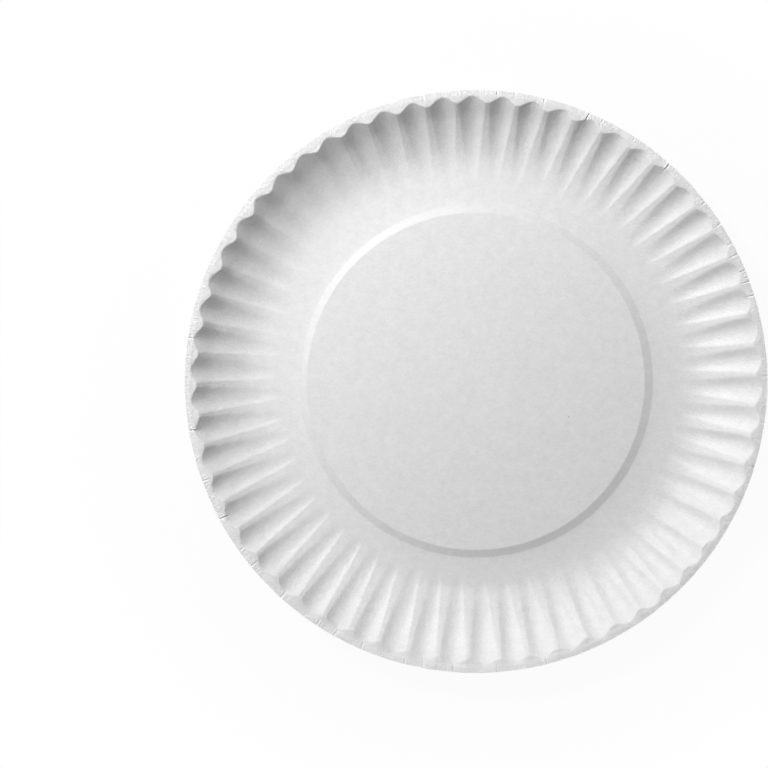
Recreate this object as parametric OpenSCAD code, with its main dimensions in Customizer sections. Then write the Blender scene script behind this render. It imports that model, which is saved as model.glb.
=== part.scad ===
// A round paper plate, pressed from one disc of paperboard.
// It lies face up: the table is at z = 0 and the middle of the plate is on the Z axis.

/* [Plate] */
// Diameter over the rim
plate_d = 229; // [160:1:300]
// Height from the table to the top of the rim
plate_h = 15.5; // [12.5:0.5:24]
// Thickness of the paperboard
board_t = 0.35; // [0.2:0.05:0.8]

/* [Rim] */
// Width of the flat rim at the outer end of a valley, where it is narrowest
rim_w = 1.9; // [1:0.1:6]
// Drop of the rim's outer edge below its inner edge
rim_drop = 0.15; // [0:0.05:0.8]

/* [Wall] */
// Slope of the valleys of the wall above the table, in degrees
wall_angle = 39.5; // [28:0.5:46]
// Radius of the heel, the curve between the foot and the wall
heel_r = 38; // [20:0.5:46]

/* [Flutes] */
// Number of flutes round the wall
flute_count = 58; // [30:1:66]
// Height of a ridge above the valleys beside it, where it meets the rim
flute_depth = 1.7; // [0.4:0.05:2.4]
// Share of each flute that its groove takes at the foot, where it starts
groove_share_foot = 0.24; // [0.15:0.01:0.6]
// Share of each flute that its groove takes at the rim
groove_share_rim = 0.83; // [0.6:0.01:0.98]
// Turn of the flutes from the X axis to the middle of the nearest valley, in degrees
flute_turn = 4.2; // [0:0.1:6]

/* [Foot and panel] */
// Width of the flat ring that the plate rests on
foot_w = 6.1; // [2:0.1:12]
// Width of the skirt, the gentle slope from the foot up to the step
skirt_w = 4.5; // [1:0.1:8]
// Height of the skirt's inner edge above the foot
skirt_rise = 0.2; // [0.05:0.05:0.6]
// Width of the sloping step round the panel
step_w = 3.1; // [1:0.1:8]
// Height of the raised middle panel above the foot
panel_rise = 0.95; // [0.7:0.05:2]

/* [Hidden] */
paper_white = [0.86, 0.86, 0.86];

// The valley line of the upper face rises from the foot along the heel, then straight up the wall to the rim.
heel_run = heel_r * sin(wall_angle);
heel_rise = heel_r * (1 - cos(wall_angle));
wall_rise = plate_h - board_t - heel_rise;
wall_run = wall_rise / tan(wall_angle);
rim_r = plate_d / 2;
valley_end_r = rim_r - rim_w;
ridge_end_r = valley_end_r - flute_depth / tan(wall_angle);
foot_r = valley_end_r - wall_run - heel_run;
skirt_r = foot_r - foot_w - skirt_w;

// The turned middle and the fluted border share the middle third of the flat foot.
border_start_r = foot_r - foot_w * 2 / 3;
middle_end_r = foot_r - foot_w / 3;

// Places across one flute, in degrees of its pitch, from one ridge at -180 over the valley at 0 to the next.
flute_phases = [-180, -138, -72, 0, 72, 138];
heel_steps = 4;
columns = flute_count * len(flute_phases);

// How far up the wall a radius is: 0 at the foot and 1 where the ridges meet the rim
function way_up(r) = (r - foot_r) / (ridge_end_r - foot_r);

// Half the width of a groove, which widens evenly from the foot to the rim
function groove_half_w(r) =
    let (
        at_foot = groove_share_foot * PI * foot_r / flute_count,
        at_rim = groove_share_rim * PI * ridge_end_r / flute_count
    )
    at_foot + (at_rim - at_foot) * way_up(r);

// Height above the valley line at a radius and a phase: a round groove with a level ridge on each side
function flute_height(r, phase) =
    let (aside = r * PI / flute_count * abs(phase) / 180)
    flute_depth * way_up(r) * min(1, pow(aside / groove_half_w(r), 2));

// Radius at which the wall meets the rim at this phase, which gives the rim its scalloped inner edge
function wall_end_r(phase) = valley_end_r - flute_height(ridge_end_r, phase) / tan(wall_angle);

// The upper face at one phase, as [radius, height] from the flat foot out to the rim's edge
function border_line(phase) = concat(
    [[border_start_r, board_t]],
    [for (step = [0 : heel_steps])
        let (turn = wall_angle * step / heel_steps, r = foot_r + heel_r * sin(turn))
        [r, board_t + heel_r * (1 - cos(turn)) + flute_height(r, phase)]],
    [[wall_end_r(phase), plate_h]],
    [[rim_r, plate_h - rim_drop]]
);

// The upper face of the middle: the raised panel, its sloping step, the skirt and the flat foot
middle_line = [
    [0, board_t + panel_rise],
    [skirt_r - step_w, board_t + panel_rise],
    [skirt_r, board_t + skirt_rise],
    [skirt_r + skirt_w, board_t],
    [middle_end_r, board_t]
];

// The direction straight into the board from a stretch of a line that runs outwards
function inwards(from, to) = let (along = to - from) [along[1], -along[0]] / norm(along);

// The lower face under a line, one board thickness away from every stretch of it
function under(line) = [for (i = [0 : len(line) - 1])
    let (
        last = len(line) - 1,
        before = i > 0 ? inwards(line[i - 1], line[i]) : inwards(line[0], line[1]),
        after = i < last ? inwards(line[i], line[i + 1]) : before
    )
    line[i] + board_t * (before + after) / (1 + before * after)];

function reversed(list) = [for (i = [len(list) - 1 : -1 : 0]) list[i]];

// The closed section of the board along a line: out over the upper face and back under the lower one
function section(line) = concat(line, reversed(under(line)));

module middle() {
    rotate_extrude($fn = 180)
        polygon(section(middle_line));
}

// The fluted border is a closed ring of sections, one for each column, joined to its neighbour by triangles.
module border() {
    pitch = 360 / flute_count;
    sections = [for (flute = [0 : flute_count - 1], phase = flute_phases)
        let (azimuth = flute_turn + pitch * (flute + phase / 360))
        [for (p = section(border_line(phase))) [p[0] * cos(azimuth), p[0] * sin(azimuth), p[1]]]];
    size = len(sections[0]);
    points = [for (s = sections) each s];
    // Both faces are split along the same diagonals, so that the board keeps its thickness between them.
    faces = [for (column = [0 : columns - 1], i = [0 : size - 1])
        let (
            next_column = (column + 1) % columns,
            next_i = (i + 1) % size,
            a = column * size + i,
            b = column * size + next_i,
            c = next_column * size + next_i,
            d = next_column * size + i
        )
        each i < size / 2 ? [[a, c, b], [a, d, c]] : [[a, d, b], [b, d, c]]];
    polyhedron(points, faces);
}

module plate() {
    color(paper_white) {
        middle();
        border();
    }
}

plate();
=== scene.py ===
# %% [markdown]
# # A pressed paper plate
#
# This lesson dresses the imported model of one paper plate. The plate is a single disc of uncoated
# paperboard. A press forms all of it in one stroke: the raised middle panel, the sloping step round
# it, the foot that the plate stands on, the fluted wall and the narrow rim.
#
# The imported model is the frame. It says where the plate lies and how large it is, and nothing here
# moves it. It stands for the plate in collisions. What it lacks is what the eye looks for: the soft
# bends of real board, flutes that are not quite alike, small pleats in the rim and the paper itself.
#
# The cells run from top to bottom. Lengths are written in millimetres times `MM`, because Blender
# works in metres.

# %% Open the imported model
import math

import bpy
import numpy as np
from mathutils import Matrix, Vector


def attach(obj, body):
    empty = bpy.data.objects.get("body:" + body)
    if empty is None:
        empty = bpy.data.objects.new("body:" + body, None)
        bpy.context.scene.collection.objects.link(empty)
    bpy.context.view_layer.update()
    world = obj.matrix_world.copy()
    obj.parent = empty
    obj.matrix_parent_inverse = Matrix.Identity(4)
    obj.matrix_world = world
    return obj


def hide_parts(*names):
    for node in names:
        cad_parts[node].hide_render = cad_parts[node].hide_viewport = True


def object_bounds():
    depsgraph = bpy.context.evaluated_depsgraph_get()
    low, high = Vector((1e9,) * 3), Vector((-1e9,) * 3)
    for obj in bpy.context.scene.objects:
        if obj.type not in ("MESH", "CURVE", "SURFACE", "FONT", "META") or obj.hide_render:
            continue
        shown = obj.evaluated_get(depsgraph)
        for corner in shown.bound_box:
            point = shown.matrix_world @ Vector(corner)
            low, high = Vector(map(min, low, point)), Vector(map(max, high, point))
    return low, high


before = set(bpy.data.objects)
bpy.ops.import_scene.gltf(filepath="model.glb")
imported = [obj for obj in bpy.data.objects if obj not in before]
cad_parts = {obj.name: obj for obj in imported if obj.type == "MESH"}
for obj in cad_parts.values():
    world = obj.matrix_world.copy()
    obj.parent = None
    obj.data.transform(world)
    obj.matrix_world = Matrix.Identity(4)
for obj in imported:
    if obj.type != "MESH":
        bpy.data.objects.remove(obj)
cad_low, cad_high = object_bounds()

MM = 0.001
print("packed plate:", [round(side / MM, 1) for side in cad_high - cad_low], "mm")

# %% [markdown]
# ## The section of the board
#
# A plate is best described by its section: the line that a cut from the middle to the rim would
# show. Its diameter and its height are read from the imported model, so they can't drift from it. The
# smaller sizes, which a bounding box can't tell, are the ones that the press tool would be cut to.
#
# The section starts on the raised panel and goes down the step. A low skirt runs out from the step to
# the flat foot. Then the line rises round the heel, which is a long arc, and goes straight up the wall
# to the rim.

# %% Sizes of the section
cad_points = np.array([v.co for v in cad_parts["plate"].data.vertices])
rim_r = np.hypot(cad_points[:, 0], cad_points[:, 1]).max()
plate_h = cad_high.z

board = 0.35 * MM
rim_w = 1.9 * MM
wall_slope = math.tan(math.radians(39.5))
heel_r = 38 * MM
flute_depth = 1.7 * MM
foot_w = 6.1 * MM
skirt_w = 4.5 * MM
skirt_rise = 0.2 * MM
step_w = 3.1 * MM
panel_rise = 1.05 * MM

wall_angle = math.atan(wall_slope)
heel_run = heel_r * math.sin(wall_angle)
heel_rise = heel_r * (1 - math.cos(wall_angle))
wall_run = (plate_h - board - heel_rise) / wall_slope
valley_end_r = rim_r - rim_w
ridge_end_r = valley_end_r - flute_depth / wall_slope
foot_r = valley_end_r - wall_run - heel_run
panel_r = foot_r - foot_w - skirt_w
print(
    "panel ends at %.1f mm, foot at %.1f mm, wall at %.1f mm"
    % (panel_r / MM, foot_r / MM, valley_end_r / MM)
)

# %% [markdown]
# ## Flutes that are not quite alike
#
# The wall would have to shrink round its edge as it is bent up. Board can't shrink, so the press
# gathers it into flutes. Each is a round-bottomed groove that starts narrow near the foot and widens
# outwards, until only a ridge is left between it and the next.
#
# A perfect pattern repeated round the wall looks like a machined part. On real plates the blank slips
# a little to one side in the press. So the flutes drift by a fraction of a degree, they are deeper on
# one side of the plate and start higher up on another, and each ridge is rounder on the side that
# the blank slipped from. All of these are slow waves round the plate, with a small random change for
# each flute. The random numbers have a fixed seed, so every run makes the same plate.

# %% Slow changes round the plate
turn = 2 * math.pi


def slow_wave(azimuth, mean, swing, towards):
    """One wave round the plate: mean plus swing at the azimuth towards, which is in degrees."""
    return mean + swing * np.cos(azimuth - math.radians(towards))


def swell(azimuth, towards, width):
    """1 at the azimuth towards, fading to 0 on both sides over this width. Both are in degrees."""
    apart = (azimuth - math.radians(towards) + math.pi) % turn - math.pi
    return np.exp(-((apart / math.radians(width)) ** 2))


print("a swell 30 degrees wide has fallen to %.2f at 30 degrees" % swell(math.radians(30), 0, 30))

# %% Place each flute
flute_count = 58
flute_turn = math.radians(4.2)
pitch = turn / flute_count
slip_azimuth = 310
drift_swing = math.radians(0.44)
place_spread = math.radians(0.10)
height_spread = 0.06
rim_spread = 0.15 * MM
side_spread, side_most = 0.035, 0.06
chance = np.random.default_rng(58)

number = np.arange(-1, flute_count + 2)
even_azimuth = flute_turn + pitch * number
drift = slow_wave(even_azimuth, 0, drift_swing, slip_azimuth)


def per_flute(spread):
    """A random amount for each flute, repeated past both ends of the round."""
    return (chance.normal(0, 1, flute_count).clip(-2, 2) * spread)[number % flute_count]


valley_azimuth = even_azimuth + drift + per_flute(place_spread)
ridge_azimuth = (valley_azimuth[:-1] + valley_azimuth[1:]) / 2 + per_flute(place_spread)[:-1]
ridge_factor = 1 + per_flute(height_spread)[:-1]
rim_shift = per_flute(rim_spread)[:-1]
point_factor = np.abs(per_flute(1.0))
side_factor = 1 + chance.normal(0, side_spread, 2 * len(number)).clip(-side_most, side_most)
apart = np.degrees(np.diff(valley_azimuth))
print("valleys stand %.2f to %.2f degrees apart" % (apart.min(), apart.max()))

# %% [markdown]
# ## The upper face as one height
#
# Every point of the upper face has one height over the table, so the whole face can be a function of
# radius and azimuth. That beats dragging vertices about: the same function gives the points, the
# direction of the surface and later the underside.
#
# Board can't be bent to a knife edge. Where two planes of the section meet, a soft minimum or
# maximum blends them over a set depth, which gives the small bend radius of real board.
#
# The rim isn't quite flat either. It rises a little to its cut edge and curls up more on one side,
# where the heel stands higher too, and the wall sags a little between the heel and the rim. The step
# is a third of a millimetre out of the middle, and narrower on one side than on the other.

# %% Helpers for the blends
def soft_min(a, b, blend):
    """The lower of two heights, blended where they differ by less than blend."""
    return np.minimum(a, b) - np.maximum(blend - np.abs(a - b), 0) ** 2 / (4 * blend)


def soft_max(a, b, blend):
    """The higher of two heights, blended in the same way."""
    return -soft_min(-a, -b, blend)


def ramp(value, start, end):
    """0 up to start, 1 from end on, and an S-shaped change between."""
    share = np.clip((value - start) / (end - start), 0, 1)
    return share * share * (3 - 2 * share)


print("a blend of 0.2 mm takes %.2f mm off the crossing of two planes" % -soft_min(0, 0, 0.2))


# %% Where a point falls in its flute
knot_azimuth = np.sort(np.concatenate([valley_azimuth[:-1], ridge_azimuth]))
knot_phase = math.pi * np.arange(len(knot_azimuth))


def unwrapped(azimuth):
    """The same direction, within one round that starts at the first ridge."""
    azimuth = azimuth % turn
    return np.where(azimuth < ridge_azimuth[0], azimuth + turn, azimuth)


def across_flute(azimuth):
    """0 in the middle of a valley, 1 on the ridge that follows it and -1 on the one before."""
    phase = np.interp(unwrapped(azimuth), knot_azimuth, knot_phase)
    return ((phase + math.pi) % turn - math.pi) / math.pi


print("first valley at %.1f degrees, first ridge at %.1f" % tuple(np.degrees(knot_azimuth[:2])))

# %% How wide a groove is
tight_azimuth = 205
start_in = 1.8 * MM
start_share, rim_share = 0.28, 0.86
widening = 0.55


def flute_share(radius, azimuth):
    """0 where the flutes start, which isn't quite at the foot, and 1 where the ridges meet the rim."""
    start = slow_wave(azimuth, foot_r - start_in, -start_in, tight_azimuth)
    return np.clip((radius - start) / (ridge_end_r - start), 0, 1)


def flute_half_w(radius):
    """Half the room that a flute has round the plate, kept well above zero inside the foot."""
    return np.maximum(radius, foot_r / 2) * pitch / 2


def groove_half_w(radius, azimuth):
    """Half the width of a groove, which widens fast at the foot and less towards the rim."""
    share = start_share + (rim_share - start_share) * flute_share(radius, azimuth) ** widening
    return share * flute_half_w(radius)


for name, radius in (("foot", foot_r), ("rim", ridge_end_r)):
    print("a groove is %.1f mm wide at the %s" % (2 * groove_half_w(radius, 0) / MM, name))

# %% How high the ridges stand
deep_azimuth = 330
# Mean and swing of each slow wave round the plate
depth_wave = (1.18, 0.36)
end_depth_wave = (1.30, -0.18)
early_wave = (0.42, 0.10)
early_until_wave = (0.17, 0.17)
full_from_wave = (0.87, 0.12)
rise_wave = (0.83, -0.09)
# Shares of a flute's way up between which its end begins
end_from, end_to = 0.80, 1.0


def ridge_height(up, azimuth):
    """Height of the ridges above the valley line. It grows with the flute's way up.

    Until early_until a ridge has only the share early of that growth, and from full_from all of it.
    """
    depth = flute_depth * slow_wave(azimuth, *depth_wave, deep_azimuth)
    end_depth = flute_depth * slow_wave(azimuth, *end_depth_wave, slip_azimuth)
    depth = depth + (end_depth - depth) * ramp(up, end_from, end_to)
    early = slow_wave(azimuth, *early_wave, tight_azimuth)
    early_until = slow_wave(azimuth, *early_until_wave, tight_azimuth)
    full_from = slow_wave(azimuth, *full_from_wave, tight_azimuth)
    grown = early + (1 - early) * ramp(up, early_until, full_from)
    rise = up ** slow_wave(azimuth, *rise_wave, tight_azimuth)
    return depth * rise * grown * np.interp(unwrapped(azimuth), ridge_azimuth, ridge_factor)


tops = ridge_height(1.0, ridge_azimuth) / MM
print("ridges stand %.1f to %.1f mm high at the rim" % (tops.min(), tops.max()))

# %% The shape across a flute
# Width over which a ridge is rounded, at the foot and at the rim, and the least that it may be
shoulder_foot, shoulder_rim = 0.75 * MM, 0.55 * MM
shoulder_least = 0.1 * MM
shoulder_room = 0.95
# How much rounder and how much wider one side of a groove is
shoulder_lean = 0.6
foot_lean = 0.15
# A groove's side rises with this power of the way across it. A lower power at its end gives a point
power_foot, power_rim = 2.4, 2.0
point_least, point_spread = 0.35, 0.15


def flute_height(radius, azimuth):
    """Height above the valley line: a groove between ridges, with its shoulders rounded over."""
    up = flute_share(radius, azimuth)
    around = unwrapped(azimuth)
    across = across_flute(azimuth)
    top = ridge_height(up, azimuth)
    point = point_least + point_spread * np.interp(around, valley_azimuth, point_factor)
    power = power_foot + (power_rim - power_foot) * up - point * ramp(up, end_from, end_to)
    rounder = np.sign(across) * np.sin(azimuth - math.radians(slip_azimuth))
    half_w = groove_half_w(radius, azimuth) * side_factor[np.searchsorted(knot_azimuth, around)]
    half_w *= 1 + foot_lean * rounder * (1 - up)
    room = shoulder_room * (flute_half_w(radius) - half_w)
    shoulder = (shoulder_foot + (shoulder_rim - shoulder_foot) * up) * (1 + shoulder_lean * rounder)
    shoulder = np.clip(shoulder, shoulder_least, np.maximum(room, shoulder_least))
    side = top * (np.abs(across) * flute_half_w(radius) / half_w) ** power
    # The blend may not be zero where the flutes start
    return soft_min(side, top, shoulder * power * top / half_w + 1e-9)


# %% Where the wall meets the rim
curl_azimuth, curl_width = 262, 32
rim_lift = 0.24 * MM
curl_rise = 0.95 * MM


def rim_curl(azimuth):
    """How far the rim rises towards its cut edge. It curls up more on one side."""
    return rim_lift + curl_rise * swell(azimuth, curl_azimuth, curl_width)


def wall_end(azimuth):
    """Radius at which the wall meets the rim: a scallop, furthest out in the valleys."""
    shift = np.interp(unwrapped(azimuth), ridge_azimuth, rim_shift)
    return valley_end_r - (flute_height(ridge_end_r, azimuth) + rim_curl(azimuth)) / wall_slope + shift


scallop = wall_end(np.linspace(0, turn, 2000))
print("the rim starts between %.1f and %.1f mm" % (scallop.min() / MM, scallop.max() / MM))

# %% The height of the middle
# The step lies nearest to the middle of the plate, and is narrowest, at this azimuth
step_azimuth = 197
step_in = 0.12 * MM
step_top_shift = 0.14 * MM
step_end_shift = 0.54 * MM
step_blend = 0.04 * MM


def step_top(azimuth):
    """Radius of the panel's edge, where the step starts."""
    return slow_wave(azimuth, panel_r - step_w - step_in, -step_top_shift, step_azimuth)


def step_end(azimuth):
    """Radius at which the step ends on the skirt."""
    return slow_wave(azimuth, panel_r - step_in, -step_end_shift, step_azimuth)


def middle_height(radius, azimuth):
    """The raised panel, its step, the skirt that runs out from the step, and the foot."""
    end = step_end(azimuth)
    skirt = board + skirt_rise * np.clip(1 - (radius - end) / skirt_w, 0, 1) ** 2
    steep = (panel_rise - skirt_rise) / (end - step_top(azimuth))
    slope = board + skirt_rise + steep * (end - radius)
    return soft_max(skirt, soft_min(board + panel_rise, slope, step_blend), step_blend)


widths = [(step_end(a) - step_top(a)) / MM for a in np.radians([step_azimuth, step_azimuth + 180])]
print("the step is %.1f mm wide on one side and %.1f mm on the other" % tuple(widths))

# %% The height of the wall and the rim
rim_blend = 0.18 * MM
sag_low = 0.35 * MM
sag_high = 0.20 * MM
sag_lift = 1.15 * MM
# Shares of the way up the wall between which it starts to sag, sags more and comes back
heel_change = (0, 0.33)
upper_change = (0.6, 0.85)
top_change = (0.85, 1.07)
lift_change = (0.33, 1.0)


def heel_sag(radius, azimuth):
    """How far the wall hangs below the arc. On the side where the rim curls, its heel stands higher."""
    up = (radius - foot_r) / (ridge_end_r - foot_r)
    heel = ramp(up, *heel_change)
    back = (sag_low + sag_high) * ramp(up, *top_change)
    sag = sag_low * heel + sag_high * ramp(up, *upper_change) - back
    lift = sag_lift * heel * (1 - ramp(up, *lift_change))
    return sag - lift * swell(azimuth, curl_azimuth, curl_width)


def valley_height(radius, azimuth):
    """The section along a valley: the middle, the heel's arc and the straight wall."""
    out = np.maximum(radius - foot_r, 0)
    on_arc = np.minimum(out, heel_run)
    arc = heel_r - np.sqrt(heel_r**2 - on_arc**2)
    wall = board + arc + (out - on_arc) * wall_slope - heel_sag(radius, azimuth)
    return np.where(radius < foot_r, middle_height(radius, azimuth), wall)


def rim_height(radius, azimuth):
    """The narrow rim, which rises a little from the wall to its cut edge."""
    start = wall_end(azimuth)
    share = np.maximum((radius - start) / (rim_r - start), -1)
    return plate_h - rim_curl(azimuth) * (1 - share)


def face_height(radius, azimuth):
    """The upper face of the pressed board, before pleats."""
    fluted = valley_height(radius, azimuth) + flute_height(radius, azimuth)
    return soft_min(fluted, rim_height(radius, azimuth), rim_blend)


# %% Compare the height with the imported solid
cad_radius = np.hypot(cad_points[:, 0], cad_points[:, 1])
cad_azimuth = np.arctan2(cad_points[:, 1], cad_points[:, 0]) % turn
gap = cad_points[:, 2] - face_height(cad_radius, cad_azimuth)
upper = gap > -board / 2
print("upper face against the packed one: %.2f mm off at most" % (np.abs(gap[upper]).max() / MM))

# %% [markdown]
# ## Pleats in the rim
#
# The rim is flattened after the flutes are formed, and its spare board has nowhere to go. It folds
# into tiny pleats that cross the rim, some of them running on into the wall. Each pleat is a groove
# beside a raised lip, and it nicks the outline.
#
# Painting them as dark lines would be simpler, but the lines would then stay when the light moves.
# They are modelled, and the mesh gets extra columns of points only where a pleat needs them. The
# finer wrinkles between them are left to the paper's relief further down.

# %% Place the pleats
# Azimuth of each pleat in degrees and how strongly it shows
PLEATS = [
    (1.1, 0.5), (17.2, 0.7), (20.0, 0.9), (22.5, 0.6), (26.0, 0.6), (28.3, 0.4), (32.8, 0.6),
    (38.0, 0.4), (48.3, 1.0), (57.0, 0.4), (64.0, 0.4), (67.0, 1.0), (76.4, 0.6), (82.2, 0.4),
    (85.8, 0.6), (93.6, 0.4), (100.6, 0.5), (113.3, 0.4), (119.7, 0.4), (131.7, 0.4),
    (143.3, 0.4), (150.3, 0.4), (171.4, 0.6), (189.7, 0.9), (200.0, 0.5), (208.3, 0.9),
    (215.6, 0.5), (219.4, 0.6), (227.9, 0.6), (236.8, 0.5), (240.7, 0.5), (246.7, 0.6),
    (255.7, 0.4), (259.4, 0.5), (262.2, 0.4), (265.6, 0.5), (274.2, 0.6), (284.2, 0.5),
    (293.2, 0.5), (296.1, 0.4), (314.7, 0.5), (331.1, 0.4), (336.1, 0.5), (339.4, 0.5),
    (342.8, 0.4), (348.4, 0.5), (351.7, 0.4), (355.6, 0.5),
]
pleat_depth = 0.42 * MM
pleat_lip = 0.14 * MM
pleat_half_w = 0.25 * MM
pleat_nick = 0.30 * MM
pleat_least, pleat_more = 1.6 * MM, 2.6 * MM
pleat_fade = 1.2 * MM

pleat_azimuth = np.radians([azimuth for azimuth, _ in PLEATS])
pleat_strength = np.array([strength for _, strength in PLEATS])
pleat_length = pleat_least + pleat_more * pleat_strength * chance.uniform(0.6, 1.3, len(PLEATS))
pleat_lean = chance.normal(0, 0.10, len(PLEATS)).clip(-0.2, 0.2)
pleat_side = chance.choice([-1, 1], len(PLEATS))
print(len(PLEATS), "pleats, %.1f to %.1f mm long" % (pleat_length.min() / MM, pleat_length.max() / MM))


# %% The shape of a pleat
def pleat_height(radius, azimuth):
    """Height that the pleats add to the rim: grooves below it and lips above it."""
    inwards = rim_r - radius[:, None]
    apart = (azimuth[:, None] - pleat_azimuth + math.pi) % turn - math.pi
    across = apart * radius[:, None] - pleat_lean * inwards
    along = ramp(pleat_length - inwards, 0, pleat_fade) * pleat_strength
    groove = np.exp(-((across / pleat_half_w) ** 2))
    lip = np.exp(-(((across - pleat_side * 2 * pleat_half_w) / pleat_half_w) ** 2))
    return ((pleat_lip * lip - pleat_depth * groove) * along).sum(axis=1)


# %% The cut edge
# Waves of the edge: how many there are round the plate, and where they start
EDGE_WAVES = [(23, 1.0), (37, 2.2), (61, 0.4)]
edge_wave = 0.02 * MM


def rim_edge(azimuth):
    """Radius of the cut edge, nicked by the pleats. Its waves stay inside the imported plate's edge."""
    apart = (azimuth[:, None] - pleat_azimuth + math.pi) % turn - math.pi
    nick = (pleat_nick * pleat_strength * np.exp(-((apart * rim_r / pleat_half_w) ** 2))).sum(axis=1)
    wave = sum(np.sin(count * azimuth + start) for count, start in EDGE_WAVES)
    return rim_r - nick - edge_wave * (wave + len(EDGE_WAVES) + 0.5)


edge = rim_edge(np.linspace(0, turn, 5000)) / MM
print("the cut edge lies %.2f to %.2f mm out" % (edge.min(), edge.max()))

# %% [markdown]
# ## From heights to a mesh
#
# A grid with the same columns everywhere would waste points in the plain middle and starve the
# pleats. So the face is a set of rings, each with its own columns: few on the panel, eighteen to
# a flute on the wall and more on the rim. A small function stitches two rings that differ, by always
# stepping to the nearer next point.
#
# Rings on the wall don't run round at one radius. They lean towards the scalloped end of the wall,
# so that an edge of the mesh follows that line.

# %% Stitch two rings
# Points of two rings that are closer than this share a face of four corners
in_line = pitch / 400


def stitch(inner, inner_azimuth, outer, outer_azimuth, flip):
    """Faces between two rings. inner and outer are the numbers of their first points."""
    n, m = len(inner_azimuth), len(outer_azimuth)
    faces = []
    next_inner = np.append(inner_azimuth, inner_azimuth[0] + turn)
    next_outer = np.append(outer_azimuth, outer_azimuth[0] + turn)
    i = j = 0
    while i < n or j < m:
        a, b = inner + i % n, outer + j % m
        after_a, after_b = inner + (i + 1) % n, outer + (j + 1) % m
        if i == n:
            ahead = -1
        elif j == m:
            ahead = 1
        else:
            ahead = next_outer[j + 1] - next_inner[i + 1]
        if n == m or abs(ahead) < in_line:
            face = (a, b, after_b, after_a)
            i, j = i + 1, j + 1
        elif ahead < 0:
            face = (a, b, after_b)
            j += 1
        else:
            face = (a, b, after_a)
            i += 1
        faces.append(face[::-1] if flip else face)
    return faces


three, six = turn * np.arange(3) / 3, turn * np.arange(6) / 6
print("a ring of 3 points and one of 6 take %d faces" % len(stitch(0, three, 3, six, False)))


# %% Columns of points
def columns(places):
    """Azimuths at these places across each flute, from -1 on one ridge over 0 in the valley."""
    phase = turn * np.arange(1, flute_count + 1)[:, None] + math.pi * places
    return np.interp(phase.ravel(), knot_phase, knot_azimuth)


plain_columns = columns(np.array([0.0]))
step_columns = columns(np.array([-1, -0.5, 0, 0.5]))
print("%d columns on the panel and %d at its step" % (len(plain_columns), len(step_columns)))

# %% Columns that follow the grooves
border_start_r = foot_r - 3.8 * MM
in_groove = np.array([0.3, 0.55, 0.75, 0.9, 1.0])
beside_groove = np.array([0.12, 0.35, 0.65])


def wall_columns(share):
    """Columns that keep to the edges of the grooves. share is 0 at the border's start and 1 at the rim."""
    radius = border_start_r + share * (ridge_end_r - border_start_r)
    edge = (groove_half_w(radius, valley_azimuth[1:-2]) / (radius * pitch / 2))[:, None]
    side = np.hstack([in_groove * edge, edge + beside_groove * (1 - edge)])
    middle = np.zeros((flute_count, 1))
    return columns(np.hstack([middle - 1, -side[:, ::-1], middle, side]))


print(len(wall_columns(1)), "columns on the wall")

# %% Columns that follow the pleats
across_pleat = np.array([-4.5, -3, -2, -1.3, -0.8, -0.4, 0, 0.4, 0.8, 1.3, 2, 3, 4.5]) * pleat_half_w
pleat_clear = 1.65 * MM


def rim_columns(radius):
    """A fan of close columns that follows each pleat, and the wall's columns that it doesn't cross."""
    lean = pleat_lean * (rim_r - radius)
    fans = pleat_azimuth[:, None] + (across_pleat + lean[:, None]) / radius
    wall = wall_columns(1)
    apart = (wall[:, None] - pleat_azimuth + math.pi) % turn - math.pi
    clear = (np.abs(apart) * rim_r > pleat_clear).all(axis=1)
    return np.sort(np.concatenate([wall[clear], unwrapped(fans.ravel())]))


print(len(rim_columns(rim_r)), "columns at the cut edge")

# %% The rings of one face
panel_radii = np.array([14, 28, 40, 50, 58]) * MM
# Rows before and after a bend: the top and the end of the step, and the end of the wall
top_rows = np.array([-3, -0.8, -0.3, -0.1, 0.1, 0.3, 0.8, 1.5]) * MM
end_rows = np.array([-0.8, -0.3, -0.1, 0.1, 0.3, 1.2, 3]) * MM
wall_end_rows = np.array([-1.7, -1.1, -0.65, -0.35, -0.1, 0.15, 0.4, 0.9]) * MM
# Shares of the way across the wall and across the rim
wall_shares = np.linspace(0, 1, 27)
rim_shares = (0.35, 0.6, 0.82, 1)
bend_w = 2.6 * MM


def ring(azimuth, radius):
    """One ring of points, as (azimuths, radii)."""
    return azimuth, np.broadcast_to(radius, azimuth.shape).astype(float)


def face_rings():
    """All rings from the middle to the cut edge."""
    rings = [ring(plain_columns, radius) for radius in panel_radii]
    rings += [ring(step_columns, step_top(step_columns) + row) for row in top_rows]
    rings += [ring(step_columns, step_end(step_columns) + row) for row in end_rows]
    for share in wall_shares:
        azimuth = wall_columns(share)
        end = wall_end(azimuth) - bend_w
        rings.append(ring(azimuth, border_start_r + share * (end - border_start_r)))
    for row in wall_end_rows:
        azimuth = rim_columns(rim_r - rim_w + row)
        rings.append(ring(azimuth, wall_end(azimuth) + row))
    for share in rim_shares:
        azimuth = rim_columns(rim_r)
        start = wall_end(azimuth) + wall_end_rows[-1]
        rings.append(ring(azimuth, start + share * (rim_edge(azimuth) - start)))
    return rings


rings = face_rings()
print(len(rings), "rings, with %d to %d points" % (len(rings[0][0]), len(rings[-1][0])))

# %% Points on the upper face and on the underside
probe = 0.04 * MM
under_pleat = 0.6
under_clear = 0.01 * MM


def in_space(radius, azimuth, height):
    """Points as x, y and z."""
    return np.stack([radius * np.cos(azimuth), radius * np.sin(azimuth), height], axis=1)


def upper_points(azimuth, radius):
    """The pleated face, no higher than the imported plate."""
    height = face_height(radius, azimuth) + pleat_height(radius, azimuth)
    return in_space(radius, azimuth, np.minimum(height, plate_h))


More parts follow.
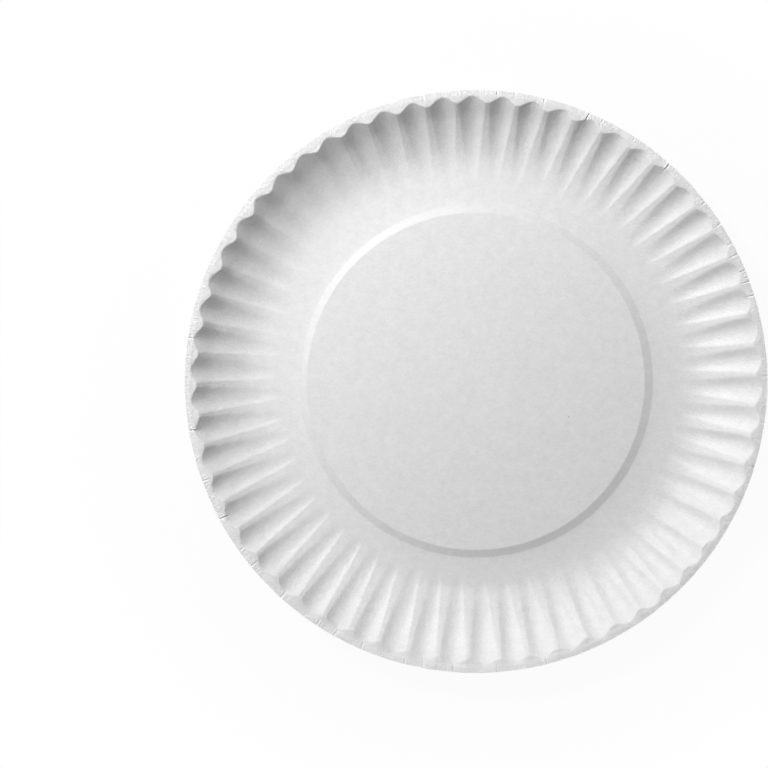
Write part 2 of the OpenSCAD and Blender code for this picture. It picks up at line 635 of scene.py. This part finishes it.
def under_points(azimuth, radius):
    """The board's thickness straight down into it from the unpleated face, then the pleats again."""
    height = face_height(radius, azimuth)
    rise_out = (face_height(radius + probe, azimuth) - face_height(radius - probe, azimuth)) / (2 * probe)
    aside = probe / radius
    rise_round = (face_height(radius, azimuth + aside) - face_height(radius, azimuth - aside)) / (2 * probe)
    length = np.sqrt(1 + rise_out**2 + rise_round**2)
    into_r, into_t = board * rise_out / length, board * rise_round / length
    new_radius = np.minimum(np.hypot(radius + into_r, into_t), rim_r - under_clear)
    new_azimuth = azimuth + np.arctan2(into_t, radius + into_r)
    new_height = height - board / length + under_pleat * pleat_height(radius, azimuth)
    return in_space(new_radius, new_azimuth, np.maximum(new_height, 0))


on_foot = (np.zeros(1), np.full(1, foot_r - foot_w / 2))
thick = np.linalg.norm(upper_points(*on_foot) - under_points(*on_foot))
print("the board is %.2f mm thick in the middle of the foot" % (thick / MM))

# %% [markdown]
# ## The plate
#
# The two faces are built from the same rings, and one more band of faces closes the cut edge, so the
# result is a closed sheet with a real thickness. The edge band gets a material of its own, because a
# cut shows the loose inside of the board. Smooth shading would smear light over that right-angled
# edge, so edges steeper than 60 degrees stay sharp.

# %% Build one face of the board
near_middle = 0.01 * MM


def skin(points_of, first, flip):
    """Points and faces of one face of the board, numbered from first, and its edge's first number."""
    middle = points_of(np.zeros(1), np.full(1, near_middle))[0]
    points = [[(0, 0, middle[2])]]
    starts = [first + 1]
    for azimuth, radius in rings:
        points.append(points_of(azimuth, radius))
        starts.append(starts[-1] + len(azimuth))
    n = len(rings[0][0])
    faces = [(first, first + 1 + k, first + 1 + (k + 1) % n) for k in range(n)]
    faces = [face[::-1] if flip else face for face in faces]
    for (inner, _), (outer, _), a, b in zip(rings, rings[1:], starts, starts[1:]):
        faces += stitch(a, inner, b, outer, flip)
    return np.concatenate(points), faces, starts[-2]


upper_xyz, upper_faces, upper_edge = skin(upper_points, 0, False)
under_xyz, under_faces, under_edge = skin(under_points, len(upper_xyz), True)
print(len(upper_xyz), "points above and as many below")

# %% Close the cut edge
edge_n = len(rings[-1][0])
edge_faces = [
    (upper_edge + k, under_edge + k, under_edge + (k + 1) % edge_n, upper_edge + (k + 1) % edge_n)
    for k in range(edge_n)
]
mesh = bpy.data.meshes.new("plate_board")
all_xyz = np.concatenate([upper_xyz, under_xyz]).tolist()
mesh.from_pydata(all_xyz, [], upper_faces + under_faces + edge_faces)
mesh.polygons.foreach_set("use_smooth", [True] * len(mesh.polygons))
mesh.set_sharp_from_angle(angle=math.radians(60))
board_piece = bpy.data.objects.new("plate_board", mesh)
bpy.context.scene.collection.objects.link(board_piece)
mesh.calc_loop_triangles()
print("the plate has %d points and %d triangles" % (len(mesh.vertices), len(mesh.loop_triangles)))

# %% [markdown]
# ## Uncoated paper
#
# Bare board looks white and even, but it isn't. Its fibres settle in clouds, from four millimetres
# wide down to a fraction of one, and finer fibres lie over them, mostly along the run of the paper
# machine. Together they change the tone by about one part in a hundred. More than that looks dirty.
#
# The press leaves marks of its own: soft dents in the wall and fine wrinkles that cross the rim. A
# dark fibre or two is left in the pulp. On top of these, the step round the panel is painted a little
# darker as painted shade, and the rim a little lighter as painted light.
#
# The face and the cut edge share these effects, so the fibres are one node group and the marks,
# with the painted shade and light, another, each with named inputs. They give out a tone and a height.
# The shader stays in each material.

# %% Small helpers for nodes
def add_node(tree, kind, at, **values):
    """A node of this kind. Values name its properties, or its inputs by name or number."""
    node = tree.nodes.new(kind)
    node.location = at
    for name, value in values.items():
        if hasattr(node, name):
            setattr(node, name, value)
        else:
            key = int(name[1:]) if name[1:].isdigit() else name.replace("_", " ")
            node.inputs[key].default_value = value
    return node


def noise(tree, coordinates, at, scale, detail, roughness, distortion=0.0):
    """A noise texture on these coordinates."""
    node = add_node(tree, "ShaderNodeTexNoise", at, Detail=detail, Roughness=roughness)
    node.inputs["Scale"].default_value = scale
    node.inputs["Distortion"].default_value = distortion
    tree.links.new(coordinates, node.inputs["Vector"])
    return node.outputs["Fac"]


def maths(tree, operation, a, b, at):
    """A sum on two sockets or numbers."""
    node = add_node(tree, "ShaderNodeMath", at, operation=operation)
    for socket, value in zip(node.inputs, (a, b)):
        if isinstance(value, (int, float)):
            socket.default_value = value
        else:
            tree.links.new(value, socket)
    return node.outputs[0]


def eased(tree, value, value_ends, result_ends, at):
    """A socket's value taken from one pair of ends to another, with an S-shaped change between."""
    node = add_node(tree, "ShaderNodeMapRange", at, interpolation_type="SMOOTHSTEP")
    names = ("From Min", "From Max", "To Min", "To Max")
    for name, end in zip(names, value_ends + result_ends):
        node.inputs[name].default_value = end
    tree.links.new(value, node.inputs["Value"])
    return node.outputs["Result"]


# %% The frame of a node group
def new_group(name, inputs):
    """A node group with these inputs, as names with their first values. It gives a tone and a height."""
    group = bpy.data.node_groups.new(name, "ShaderNodeTree")
    for title, value in inputs.items():
        socket = group.interface.new_socket(title, in_out="INPUT", socket_type="NodeSocketFloat")
        socket.default_value = value
    for title in ("Tone", "Height"):
        group.interface.new_socket(title, in_out="OUTPUT", socket_type="NodeSocketFloat")
    print("group", name, "takes", list(inputs))
    return group


# %% The fibres as a node group
def make_fibres():
    """Clouds and fibres as a tone round 1, and fibres and tooth as a height."""
    group = new_group("paper fibres", {"Cloud": 0.03, "Fibre": 0.03, "Scale": 1.0})
    given = add_node(group, "NodeGroupInput", (-1000, 0))
    result = add_node(group, "NodeGroupOutput", (600, 0))
    place = add_node(group, "ShaderNodeTexCoord", (-1000, 300))
    sized = add_node(group, "ShaderNodeVectorMath", (-800, 200), operation="SCALE")
    group.links.new(place.outputs["Object"], sized.inputs[0])
    group.links.new(given.outputs["Scale"], sized.inputs["Scale"])
    laid = add_node(group, "ShaderNodeMapping", (-600, 0), Rotation=(0, 0, 0.3), Scale=(1, 2.6, 1))
    group.links.new(sized.outputs[0], laid.inputs["Vector"])
    clouds = noise(group, sized.outputs[0], (-400, 250), 250, 5, 0.95)
    fibres = noise(group, laid.outputs[0], (-400, 0), 900, 4, 0.65, 0.8)
    tooth = noise(group, sized.outputs[0], (-400, -250), 3600, 2, 0.5)
    off_cloud = maths(group, "SUBTRACT", clouds, 0.5, (-200, 250))
    off_fibre = maths(group, "SUBTRACT", fibres, 0.5, (-200, 0))
    cloud_tone = maths(group, "MULTIPLY", off_cloud, given.outputs["Cloud"], (0, 250))
    fibre_tone = maths(group, "MULTIPLY", off_fibre, given.outputs["Fibre"], (0, 0))
    both = maths(group, "ADD", cloud_tone, fibre_tone, (200, 150))
    tone = maths(group, "ADD", both, 1.0, (400, 150))
    height = maths(group, "ADD", fibres, maths(group, "MULTIPLY", tooth, 0.6, (0, -250)), (200, -150))
    group.links.new(tone, result.inputs["Tone"])
    group.links.new(height, result.inputs["Height"])
    return group


fibres_group = make_fibres()
print("the fibres take", len(fibres_group.nodes), "nodes")


# %% Masks for places on the plate
def distance(tree, flat, centre, at):
    """Distance across the plate from this point. flat is the node that gives places without height."""
    apart = add_node(tree, "ShaderNodeVectorMath", at, operation="DISTANCE", _1=centre)
    tree.links.new(flat.outputs[0], apart.inputs[0])
    return apart.outputs["Value"]


def near(tree, length, middle, half_w, blur, at):
    """1 where the length is within half_w of middle, fading to 0 over blur on both sides."""
    off = maths(tree, "SUBTRACT", length, middle, at)
    off = maths(tree, "ABSOLUTE", off, 0, (at[0] + 150, at[1]))
    return eased(tree, off, (half_w - blur, half_w + blur), (1, 0), (at[0] + 300, at[1]))


# %% Painted shade and light, and dark fibres, that change the tone
step_shift = (step_top_shift + step_end_shift) / 2
step_centre = (
    -step_shift * math.cos(math.radians(step_azimuth)),
    -step_shift * math.sin(math.radians(step_azimuth)),
    0,
)
step_blur = 0.25 * MM
# Place on the plate, size and strength of each dark fibre, and how much of its size is blurred
SPECKS = [(36.9 * MM, -14.0 * MM, 0.33 * MM, 1.0), (-39.7 * MM, -45.8 * MM, 0.30 * MM, 0.2)]
speck_blur = 0.6


def painted_light_and_speck_tone(tree, given, flat, rim):
    """A tone of 1, with painted shade on the step, painted light on the rim and a dark fibre."""
    to_step = distance(tree, flat, step_centre, (-800, 150))
    band = near(tree, to_step, panel_r - step_in - step_w / 2, step_w / 2, step_blur, (-600, 300))
    # Painted shade: the step is drawn a little dark.
    painted_step_shade = maths(tree, "MULTIPLY", band, given.outputs["PaintedStepShade"], (0, 300))
    # Painted light: the rim is drawn a little light.
    painted_rim_light = maths(tree, "MULTIPLY", rim, given.outputs["Rim"], (0, 100))
    tone = maths(tree, "SUBTRACT", maths(tree, "ADD", 1.0, painted_rim_light, (200, 100)), painted_step_shade, (400, 200))
    for x, y, size, share in SPECKS:
        to_speck = distance(tree, flat, (x, y, 0), (-800, 500))
        spot = near(tree, to_speck, 0.0, size, size * speck_blur, (-600, 500))
        spot = maths(tree, "MULTIPLY", spot, share, (0, 500))
        spot = maths(tree, "MULTIPLY", spot, given.outputs["Speck"], (200, 500))
        tone = maths(tree, "SUBTRACT", tone, spot, (600, 200))
    return tone


# %% Marks that stand in relief
# Noise on azimuth and radius gives streaks that cross the rim. It has this many waves to a radian round
# the plate, and this many to a metre outwards
streaks_round, streaks_out = 190.0, 500.0
dents_scale = 260


def marks_height(tree, given, place, flat, radius, rim, wall):
    """Wrinkles that cross the rim, and dents in the wall."""
    split = add_node(tree, "ShaderNodeSeparateXYZ", (-800, -400))
    tree.links.new(flat.outputs[0], split.inputs[0])
    azimuth = maths(tree, "ARCTAN2", split.outputs["Y"], split.outputs["X"], (-600, -400))
    polar = add_node(tree, "ShaderNodeCombineXYZ", (-250, -400))
    tree.links.new(maths(tree, "MULTIPLY", azimuth, streaks_round, (-400, -400)), polar.inputs["X"])
    tree.links.new(maths(tree, "MULTIPLY", radius, streaks_out, (-400, -550)), polar.inputs["Y"])
    streaks = noise(tree, polar.outputs[0], (-100, -400), 1.0, 3, 0.6)
    streaks = maths(tree, "MULTIPLY", streaks, rim, (100, -400))
    streaks = maths(tree, "MULTIPLY", streaks, given.outputs["Wrinkles"], (300, -400))
    dents = noise(tree, place.outputs["Object"], (-100, -650), dents_scale, 3, 1.0)
    dents = maths(tree, "MULTIPLY", dents, wall, (100, -650))
    dents = maths(tree, "MULTIPLY", dents, given.outputs["Dents"], (300, -650))
    return maths(tree, "ADD", streaks, dents, (500, -500))


# %% The marks of the press and the painted shade and light as a node group
rim_mark_w, rim_mark_blur = 2.6 * MM, 1.0 * MM
wall_mark_blur = 4 * MM


def make_marks_and_painted_light():
    """The marks on the board and the painted shade and light, as a tone round 1 and a height."""
    # The first two inputs paint shade on the step and light on the rim.
    inputs = {"PaintedStepShade": 0.07, "Rim": 0.07, "Speck": 0.35, "Dents": 6.0, "Wrinkles": 6.5}
    group = new_group("press marks and painted light", inputs)
    given = add_node(group, "NodeGroupInput", (-1200, 0))
    result = add_node(group, "NodeGroupOutput", (1000, 0))
    place = add_node(group, "ShaderNodeTexCoord", (-1200, 300))
    flat = add_node(group, "ShaderNodeVectorMath", (-1000, 300), operation="MULTIPLY", _1=(1, 1, 0))
    group.links.new(place.outputs["Object"], flat.inputs[0])
    radius = distance(group, flat, (0, 0, 0), (-800, 300))
    rim = near(group, radius, rim_r, rim_mark_w, rim_mark_blur, (-600, 100))
    wall_mark_w = rim_r - foot_r - wall_mark_blur
    wall = near(group, radius, rim_r, wall_mark_w, wall_mark_blur, (-600, -100))
    tone = painted_light_and_speck_tone(group, given, flat, rim)
    height = marks_height(group, given, place, flat, radius, rim, wall)
    group.links.new(tone, result.inputs["Tone"])
    group.links.new(height, result.inputs["Height"])
    return group


marks_and_painted_light_group = make_marks_and_painted_light()
print("the marks take", len(marks_and_painted_light_group.nodes), "nodes")

# %% Two papers from the same fibres
fibre_relief = 0.05 * MM


def make_paper(name, white, cloud, fibre, marks, roughness, bump):
    """Matt board. white is its plain colour. cloud, fibre, marks with the painted light, and bump are how
    strongly each shows.
    """
    material = bpy.data.materials.new(name)
    material.use_nodes = True
    tree = material.node_tree
    shader = tree.nodes["Principled BSDF"]
    group = add_node(tree, "ShaderNodeGroup", (-700, 0), node_tree=fibres_group, Cloud=cloud, Fibre=fibre)
    tint = add_node(tree, "ShaderNodeVectorMath", (-450, 150), operation="SCALE", _0=(white, white, white))
    # This group adds painted shade on the step and painted light on the rim. marks scales them with the
    # dark fibres.
    pressed = add_node(tree, "ShaderNodeGroup", (-700, 250), node_tree=marks_and_painted_light_group)
    for mark in ("PaintedStepShade", "Rim", "Speck"):
        pressed.inputs[mark].default_value *= marks
    toned = maths(tree, "MULTIPLY", group.outputs["Tone"], pressed.outputs["Tone"], (-550, 250))
    tree.links.new(toned, tint.inputs["Scale"])
    tree.links.new(tint.outputs[0], shader.inputs["Base Color"])
    rough = maths(tree, "MULTIPLY", group.outputs["Tone"], roughness, (-450, -50))
    tree.links.new(rough, shader.inputs["Roughness"])
    raised = add_node(tree, "ShaderNodeBump", (-450, -250), Strength=bump, Distance=fibre_relief)
    surface = maths(tree, "ADD", group.outputs["Height"], pressed.outputs["Height"], (-550, -250))
    tree.links.new(surface, raised.inputs["Height"])
    tree.links.new(raised.outputs["Normal"], shader.inputs["Normal"])
    return material


board_face = make_paper(
    "board_face", white=0.86, cloud=0.31, fibre=0.24, marks=1, roughness=0.50, bump=1.0
)
board_cut = make_paper(
    "board_cut", white=0.80, cloud=0.16, fibre=0.20, marks=0, roughness=0.92, bump=0.8
)
for paper in (board_face, board_cut):
    mesh.materials.append(paper)
face_count = len(upper_faces) + len(under_faces)
mesh.polygons.foreach_set("material_index", [0] * face_count + [1] * edge_n)
print("materials:", [m.name for m in mesh.materials])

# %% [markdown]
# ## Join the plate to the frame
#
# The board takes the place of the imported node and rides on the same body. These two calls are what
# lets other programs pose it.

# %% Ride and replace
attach(board_piece, "root")
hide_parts("plate")

# %% [markdown]
# ## The floor
#
# The photograph has a pure white ground. A floor that is lit up to white would throw light back at
# the plate and wash out its shape. Here the floor is a plain pale material for every ray but the
# camera's, which sees mostly a white glow of strength 1. Near the plate it sees some of the real
# floor through the glow, and so the plate's shadow.

# %% Make the floor
floor_half = 4.0
floor_drop = 0.1 * MM
floor_mesh = bpy.data.meshes.new("floor")
corners = [(x * floor_half, y * floor_half, -floor_drop) for x, y in ((-1, -1), (1, -1), (1, 1), (-1, 1))]
floor_mesh.from_pydata(corners, [], [(0, 1, 2, 3)])
floor = bpy.data.objects.new("floor", floor_mesh)
bpy.context.scene.collection.objects.link(floor)


def seen_directly(tree, at):
    """1 for camera, glossy and transmission rays, which should find the white ground."""
    path = add_node(tree, "ShaderNodeLightPath", at)
    camera_ray, glossy_ray = path.outputs["Is Camera Ray"], path.outputs["Is Glossy Ray"]
    either = maths(tree, "MAXIMUM", camera_ray, glossy_ray, (at[0] + 200, at[1]))
    return maths(tree, "MAXIMUM", either, path.outputs["Is Transmission Ray"], (at[0] + 400, at[1]))


def make_floor_material(shadow_share, shadow_reach):
    """shadow_share of the real floor shows at the plate, fading to none at shadow_reach."""
    material = bpy.data.materials.new("floor")
    material.use_nodes = True
    tree = material.node_tree
    shader = tree.nodes["Principled BSDF"]
    shader.inputs["Base Color"].default_value = (0.8, 0.8, 0.8, 1)
    shader.inputs["Roughness"].default_value = 0.9
    place = add_node(tree, "ShaderNodeTexCoord", (-900, -200))
    away = add_node(tree, "ShaderNodeVectorMath", (-700, -200), operation="LENGTH")
    tree.links.new(place.outputs["Object"], away.inputs[0])
    fade = eased(tree, away.outputs["Value"], (rim_r, shadow_reach), (1 - shadow_share, 1), (-500, -200))
    glow = add_node(tree, "ShaderNodeEmission", (0, -200), Strength=1.0)
    share = maths(tree, "MULTIPLY", seen_directly(tree, (-700, 200)), fade, (-50, 200))
    mix = add_node(tree, "ShaderNodeMixShader", (250, 0))
    tree.links.new(share, mix.inputs[0])
    tree.links.new(shader.outputs[0], mix.inputs[1])
    tree.links.new(glow.outputs[0], mix.inputs[2])
    tree.links.new(mix.outputs[0], tree.nodes["Material Output"].inputs["Surface"])
    return material


floor_mesh.materials.append(make_floor_material(shadow_share=0.04, shadow_reach=0.2))
print("the floor is %.0f m wide" % (2 * floor_half))

# %% [markdown]
# ## Light
#
# White on white has only its shading to show it, so the light does most of the work. A key lamp far
# to the upper left draws the flutes evenly. A second one, nearer and a little further round, makes
# the top of the plate brighter than the bottom, and a weak one close above the face lifts its upper
# left. There is hardly any light from all round, because it would fill the grooves.
#
# All three stand at 45 degrees or more. A lower lamp would leave the near side of the wall, which
# leans away from it, much darker than in the photograph.

# %% The room and the lamps
# Name, azimuth and height in degrees, distance and size in metres, and power in watts
LAMPS = [
    ("key", 138, 45, 2.0, 0.30, 18.0),
    ("side", 118, 45, 0.5, 0.30, 1.13),
    ("close", 138, 60, 0.35, 0.25, 0.22),
]
room_light = 0.03

world = bpy.data.worlds.new("room")
bpy.context.scene.world = world
world.use_nodes = True
room = world.node_tree
lit = room.nodes["Background"]
lit.inputs["Color"].default_value = (1, 1, 1, 1)
lit.inputs["Strength"].default_value = room_light
white = add_node(room, "ShaderNodeBackground", (0, -200), Strength=1.0)
pick = add_node(room, "ShaderNodeMixShader", (300, 0))
room.links.new(seen_directly(room, (-600, 200)), pick.inputs[0])
room.links.new(lit.outputs[0], pick.inputs[1])
room.links.new(white.outputs[0], pick.inputs[2])
room.links.new(pick.outputs[0], room.nodes["World Output"].inputs["Surface"])


def add_lamp(name, azimuth, height, away, size, watts):
    """A square lamp that faces the middle of the plate. Angles are in radians."""
    lamp = bpy.data.lights.new(name, "AREA")
    lamp.size = size
    lamp.energy = watts
    holder = bpy.data.objects.new(name, lamp)
    flat = away * math.cos(height)
    holder.location = (flat * math.cos(azimuth), flat * math.sin(azimuth), away * math.sin(height))
    holder.rotation_euler = holder.location.to_track_quat("Z", "Y").to_euler()
    bpy.context.scene.collection.objects.link(holder)
    return holder


for name, azimuth, height, away, size, watts in LAMPS:
    add_lamp(name, math.radians(azimuth), math.radians(height), away, size, watts)
print("lamps:", [name for name, *_ in LAMPS])

# %% [markdown]
# ## Camera
#
# The photograph looks at the plate square on: its rim is a circle to within one part in a hundred.
# The plate lies on the floor here, so the camera looks straight down, from far enough away that the
# rim and the foot keep their proportions. The plate stands right of the middle of the picture, so
# the camera stands left of the plate.

# %% Place the camera
PICTURE_PX = 768
PLATE_CENTRE_PX = (476.1, 381.4)
PLATE_RADIUS_PX = 291.4
camera_away = 2.0

px = rim_r / PLATE_RADIUS_PX
camera_data = bpy.data.cameras.new("camera")
camera_data.sensor_width = 36
camera_data.lens = camera_data.sensor_width * camera_away / (PICTURE_PX * px)
camera_data.clip_end = 100
camera = bpy.data.objects.new("camera", camera_data)
camera.location = (
    (PICTURE_PX / 2 - PLATE_CENTRE_PX[0]) * px,
    (PLATE_CENTRE_PX[1] - PICTURE_PX / 2) * px,
    plate_h + camera_away,
)
bpy.context.scene.collection.objects.link(camera)
bpy.context.scene.camera = camera
bpy.context.scene.view_settings.view_transform = "Standard"
print("one pixel is %.3f mm, lens %.0f mm" % (px / MM, camera_data.lens))

# %% Update the scene
bpy.context.view_layer.update()
